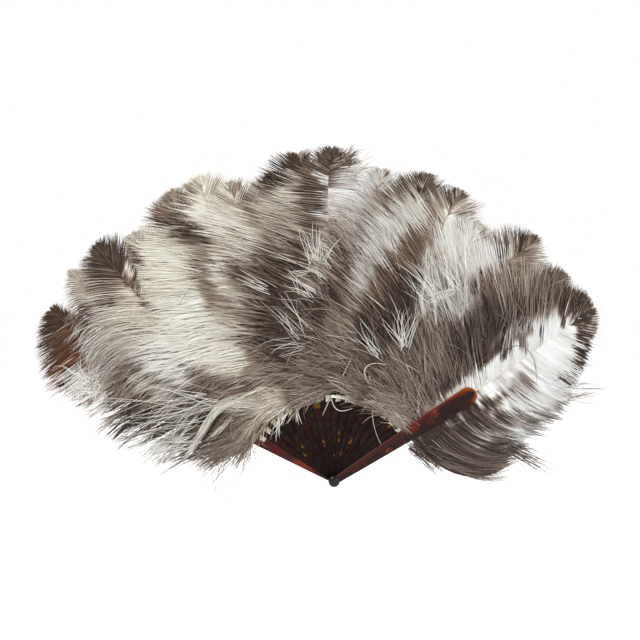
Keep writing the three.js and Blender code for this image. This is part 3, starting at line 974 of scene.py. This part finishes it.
# Tufts and stray strands: the plume they grow on, places by stick number and radius, how many strands, how
# far they spread, their width, tone and how far in front of the plume they lie at either end.
TUFTS = [
    (9, ((8.4, 97.5), (9.4, 96), (10.4, 94.5), (11.6, 93)), 26, 1.3, 1.7, 0.9, (5.5, 9.5)),
    (3, ((4.2, 106), (3, 115), (2, 128), (1, 148)), 70, 6, 0.55, 0.84, (3, 5)),
    (3, ((2.33, 123), (0.99, 152), (-0.91, 160), (-3.07, 175)), 22, 5.5, 0.5, 0.86, (4, 5)),
    (1, ((0.6, 138), (-0.4, 141), (-1.4, 152)), 14, 2.5, 0.5, 0.85, (4, 5)),
    (7, ((6.7, 101), (6.2, 92), (5.4, 85)), 5, 1, 0.6, 0.75, (2, 4)),
    (8, ((8.5, 99), (8, 88), (7.3, 76)), 3, 0.8, 0.6, 0.7, (2, 4)),
    (9, ((8.5, 98), (8.9, 84), (9.8, 81), (11, 88)), 2, 0.4, 0.5, 0.85, (3, 7)),
    (12, ((11.1, 132), (12.2, 108), (13.5, 82), (17.7, 68)), 3, 0.5, 0.7, 0.85, (4, 13)),
    (13, ((12.2, 146), (11.2, 140), (11.1, 128), (12.3, 114)), 4, 1, 0.6, 0.8, (4, 4)),
    (12, ((11.4, 203), (10.6, 212), (10.1, 219)), 2, 0.6, 0.9, 0.95, (3, 4)),
    (6, ((2.9, 269.5), (3.5, 275), (3.9, 277.6)), 2, 0.6, 0.45, 0.35, (3, 4)),
    (LAST, ((16.4, 235), (16.3, 252), (16.5, 264)), 2, 0.8, 0.6, 0.22, (3, 5)),
    (LAST, ((16.5, 264), (17.06, 267), (17.84, 258)), 2, 0.6, 0.6, 0.22, (5, 4)),
]


def tuft(strands, rng, index, path, count, spread, width, tone, lift):
    """A loose lock of strands along a smooth line."""
    stick, radius = np.array(path).T
    angle = np.radians(stick_angle(stick))
    at = np.linspace(0, 1, len(path))
    fits = [np.polyfit(at, radius * turn(angle), len(path) - 1) for turn in (np.cos, np.sin)]
    start = rng.uniform(0, 0.25, (count, 1)) if count > 4 else np.zeros((count, 1))
    along = start + (rng.uniform(0.85, 1.08, (count, 1)) - start) * along_strand(16)
    phases = rng.uniform(0, WHOLE_TURN, (2, count, 1))
    offsets = rng.normal(0, 1, (2, count, 1))
    grow = spread * (0.3 + 0.7 * along)
    x, z = (np.polyval(fit, along) + grow * (0.7 * offset + 0.5 * np.sin(5 * along + phase))
            for fit, offset, phase in zip(fits, offsets, phases))
    height = lift[0] + (lift[1] - lift[0]) * along + rng.normal(0, 0.5, (count, 1))
    threads(strands, rng, index, x, z, height, width, tone, 0.35)


# Sprays: the plume they grow on, the root in millimetres right of and above the pin, the headings between
# which they fan out, the shortest and longest strand, their number, and then tone, bend, width and scatter.
SPRAYS = [
    # Right of the middle: a white fountain, cream strands that cross it and white strings
    (15, (81.7, 152.4), (62, 140), (26, 58), 23, 0.95, 30, 0.5, 3.2),
    (16, (139, 218), (192, 228), (22, 40), 9, 0.95, 22, 0.55, 2.5),
    (16, (139, 218), (112, 136), (24, 42), 6, 0.95, 18, 0.55, 2.5),
    (15, (117, 211), (100, 142), (22, 48), 34, 0.95, 20, 0.45, 9),
    (13, (54, 142), (114, 154), (20, 56), 18, 0.9, 24, 0.45, 3.5),
    # Middle: a white brush, a grey tangle and white strings below it
    (10, (-20.7, 251.3), (60, 130), (18, 42), 30, 0.95, 34, 0.45, 4.5),
    (10, (-29.2, 210.5), (110, 165), (20, 36), 12, 0.76, 40, 0.5, 5),
    (10, (-46, 238.6), (-30, 12), (14, 24), 6, 0.8, 20, 0.5, 3),
    (9, (-36.3, 168.5), (112, 144), (24, 56), 15, 0.8, 18, 0.42, 7),
    (8, (-71.3, 219), (145, 168), (22, 42), 12, 0.78, 10, 0.55, 5),
    (9, (-36.8, 159.3), (172, 202), (24, 44), 12, 0.7, 20, 0.5, 7),
    # The top plume's right shoulder
    (9, (10, 363), (12, 62), (10, 22), 70, 0.3, 10, 0.6, 3),
    (9, (18, 351), (0, 40), (14, 30), 44, 0.72, 12, 0.55, 4),
    # Over the sticks: hanging strands and a tangle, and strands that reach the front guard
    (6, (-50.6, 88), (205, 250), (16, 36), 6, 0.86, 20, 0.6, 1.6),
    (6, (-43.7, 85.7), (266, 286), (14, 23), 6, 0.9, 8, 0.7, 0.8),
    (5, (-64, 76), (255, 274), (20, 31), 6, 0.9, 10, 0.7, 1),
    (11, (18.4, 104), (20, 160), (12, 30), 18, 0.75, 50, 0.5, 6),
    (16, (40, 102), (-40, -14), (28, 60), 56, 0.46, 12, 0.5, 5),
    (16, (64, 92), (-56, -24), (14, 34), 46, 0.5, 14, 0.5, 4),
    (16, (67, 77), (-58, -36), (14, 24), 70, 0.5, 10, 0.8, 3.5),
    # Lower left: a white tangle by the rusty leaf, white strings, the brown tuft and hanging wisps
    (1, (-277, 104), (100, 260), (12, 30), 80, 0.97, 50, 0.5, 9),
    (3, (-140, 92), (160, 208), (45, 116), 40, 0.88, 30, 0.42, 12),
    (1, (-100, 50), (196, 223), (30, 74), 230, 0.38, 12, 0.5, 5),
    (1, (-94, 43), (232, 284), (26, 56), 20, 0.5, 18, 0.35, 4),
    (1, (-165.6, 46.6), (168, 215), (14, 36), 36, 0.95, 20, 0.45, 7),
    # Lower right: the root of the dark lobe and thin wisps past it
    (LAST, (90, 43), (-50, -30), (16, 44), 110, 0.14, 6, 0.6, 4.5),
    (LAST, (200, 38), (-36, -18), (26, 56), 46, 0.18, 10, 0.6, 5),
    (LAST, (214, 66), (-26, -4), (18, 44), 18, 0.24, 12, 0.45, 7),
    (LAST, (266, 97), (-14, 28), (16, 40), 26, 0.45, 16, 0.42, 7),
    (LAST, (104.6, 32), (-34, -10), (36, 76), 9, 0.4, 10, 0.35, 4),
]


def spray(strands, rng, index, root, fan, reach, count, tone, bend, width, scatter):
    """Strands that open like a fountain from one place."""
    t = along_strand()
    heading = np.radians(rng.uniform(*fan, (count, 1)) + rng.normal(0, bend, (count, 1)) * t ** 1.3)
    step = rng.uniform(*reach, (count, 1)) / (RINGS - 1)
    x, z = (at + rng.normal(0, scatter, (count, 1)) + np.cumsum(turn(heading), axis=1) * step
            for at, turn in zip(root, (np.cos, np.sin)))
    height = rng.uniform(2.4, 4.2, (count, 1)) + rng.normal(0.8, 1, (count, 1)) * t
    threads(strands, rng, index, x, z, height, width, tone, 0.4)


FIRST_SEED = 1000


def make_vane(index, name, material):
    rng = np.random.default_rng(FIRST_SEED + index)
    strands = Strands()
    for top in (False, True):
        for side in (1, -1):
            barbs(strands, rng, index, side, top)
    if index != LAST:
        down(strands, rng, index)
    wisps(strands, rng, index)
    for grow, locks in ((tuft, TUFTS), (spray, SPRAYS)):
        for plume, *lock in locks:
            if plume == index:
                grow(strands, rng, index, *lock)
    return strands.build(name, material)


def make_shaft(index, name, material):
    share = np.linspace(0, 1, SHAFT_RINGS)
    radius, angle = shaft_point(index, share)
    height = plume_height(index, radius) + SHAFT_RISE * share
    line = np.stack([radius * np.cos(angle), -height, radius * np.sin(angle)], axis=1)
    tone = SHAFT_TONE.get(index, COMMON_SHAFT) + 0.1 * np.sin(share * 9)
    return tube(name, line, SHAFT_RADIUS - SHAFT_TAPER * share, tone, material)


barb = barb_material()
horn = shaft_material()
for index in range(STICKS):
    body, node = names_of(index)
    vane = make_vane(index, node + "_vane", barb)
    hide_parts(node)
    shaft = make_shaft(index, node + "_shaft", horn)
    for part in (vane, shaft):
        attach(part, body)
        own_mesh(part)

# Sticks, guards, caps, pin and ribbon keep their CAD shapes.

STICK_BEVEL = 0.00012
# Amber spots of the sticks: along from the pin, across and size, in millimetres
SPOTS = {
    2: [(44, 0.9, 2.4)], 3: [(52, 3.8, 2.8)], 7: [(45, 3, 3.4), (89, 1, 6)], 9: [(30, 0.5, 1.8)],
    10: [(55, 2.4, 2.4), (47, 1, 1.8)], 11: [(32, 0.4, 1.6)], 12: [(49, -0.6, 3.4)], 14: [(92, -2.2, 3.6)],
    15: [(90, -2.8, 3.2)]}
# Patches of the guards, with their colours
REAR_PATCHES = [(38, 3.4, 11, srgb(112, 42, 10)), (84, 3, 17, srgb(74, 6, 8))]
FRONT_PATCHES = [
    (137, 2, 4.4, srgb(102, 35, 16)), (139, 7.5, 4.5, srgb(128, 56, 14)), (108, 4, 8, srgb(98, 16, 10)),
    (72, -3.5, 3.4, srgb(124, 58, 22))]


def dress(node, material, bevel=0):
    obj = nodes[node]
    obj.data.materials.clear()
    obj.data.materials.append(material)
    if bevel:
        mod = obj.modifiers.new("soft_edges", "BEVEL")
        mod.width = bevel
        mod.segments = 2
        mod.limit_method = "ANGLE"
        mod.angle_limit = math.radians(40)


rear_shell = guard_material(
    "rear_guard_shell", stick_angle(0), REAR_PATCHES, rim_from=0.15, rim_colour=srgb(120, 44, 16),
    low_rim=1)
front_shell = guard_material(
    "front_guard_shell", stick_angle(LAST), FRONT_PATCHES, rim_from=0.08, rim_colour=srgb(138, 64, 16),
    low_rim=0.02)
dress("rear_guard", rear_shell)
dress("front_guard", front_shell)
silk = silk_material()
for index in range(1, LAST):
    dress(f"stick_{index:02d}", stick_material(index, SPOTS.get(index, [])), STICK_BEVEL)
for index in range(1, STICKS):
    dress(f"ribbon_span_{index:02d}", silk)
dress("pivot_pin", pin_material())
cap = cap_material()
dress("rear_cap", cap)
dress("front_cap", cap)

# Stage, in metres

FLOOR_LEVEL = -0.03
FLOOR_HALF = 6
CAMERA_PLACE = (-0.0161, -2.015, 0.1846)
LENS = 97.8
SENSOR = 36
scene = bpy.context.scene


def lamp(name, place, aim, size, power):
    data = bpy.data.lights.new(name, "AREA")
    data.shape = "DISK"
    data.size = size
    data.energy = power
    obj = bpy.data.objects.new(name, data)
    scene.collection.objects.link(obj)
    obj.location = place
    right, back, up = np.array(aim) - np.array(place)
    obj.rotation_euler = (
        math.atan2(math.hypot(right, back), -up), 0, math.atan2(back, right) - math.pi / 2)


def seen_directly(m):
    """One for rays that show the background: to the camera, off gloss and through glass."""
    rays = m.add("LightPath", {}).outputs
    either = m.math("MAXIMUM", rays["Is Camera Ray"], rays["Is Glossy Ray"])
    return m.math("MAXIMUM", either, rays["Is Transmission Ray"])


def make_floor():
    m = shader("pale_floor")
    m.set(Base_Color=(0.9, 0.9, 0.9, 1), Roughness=0.9, Emission_Color=(1, 1, 1, 1))
    m.set(Emission_Strength=m.times(seen_directly(m), 0.45))
    half = FLOOR_HALF
    corners = [(x * half, y * half, FLOOR_LEVEL) for x, y in ((-1, -1), (1, -1), (1, 1), (-1, 1))]
    mesh = bpy.data.meshes.new("floor")
    mesh.from_pydata(corners, [], [(0, 1, 2, 3)])
    return add_piece("floor", mesh, m.owner)


def make_world():
    """White where it is seen, and a plain dimmer light for the rest."""
    m = Nodes(bpy.data.worlds.new("studio"), "Background")
    m.set(Color=(1, 1, 1, 1), Strength=m.span(seen_directly(m), 0, 1, 0.62, 1, smooth=False))
    return m.owner


lamp("key", (-0.9, -1.5, 1.5), (0, 0, 0.18), 1.2, 24)
lamp("fill", (1.3, -1.2, 0.7), (0, 0, 0.15), 1.6, 8)
lamp("rim", (0.2, 1.4, 1.2), (0, 0, 0.2), 1.4, 8)
floor = make_floor()
scene.world = make_world()
scene.view_settings.view_transform = "Standard"
camera = bpy.data.objects.new("camera", bpy.data.cameras.new("camera"))
scene.collection.objects.link(camera)
camera.location = CAMERA_PLACE
camera.rotation_euler = (math.pi / 2, 0, 0)
camera.data.lens = LENS
camera.data.sensor_width = SENSOR
scene.camera = camera
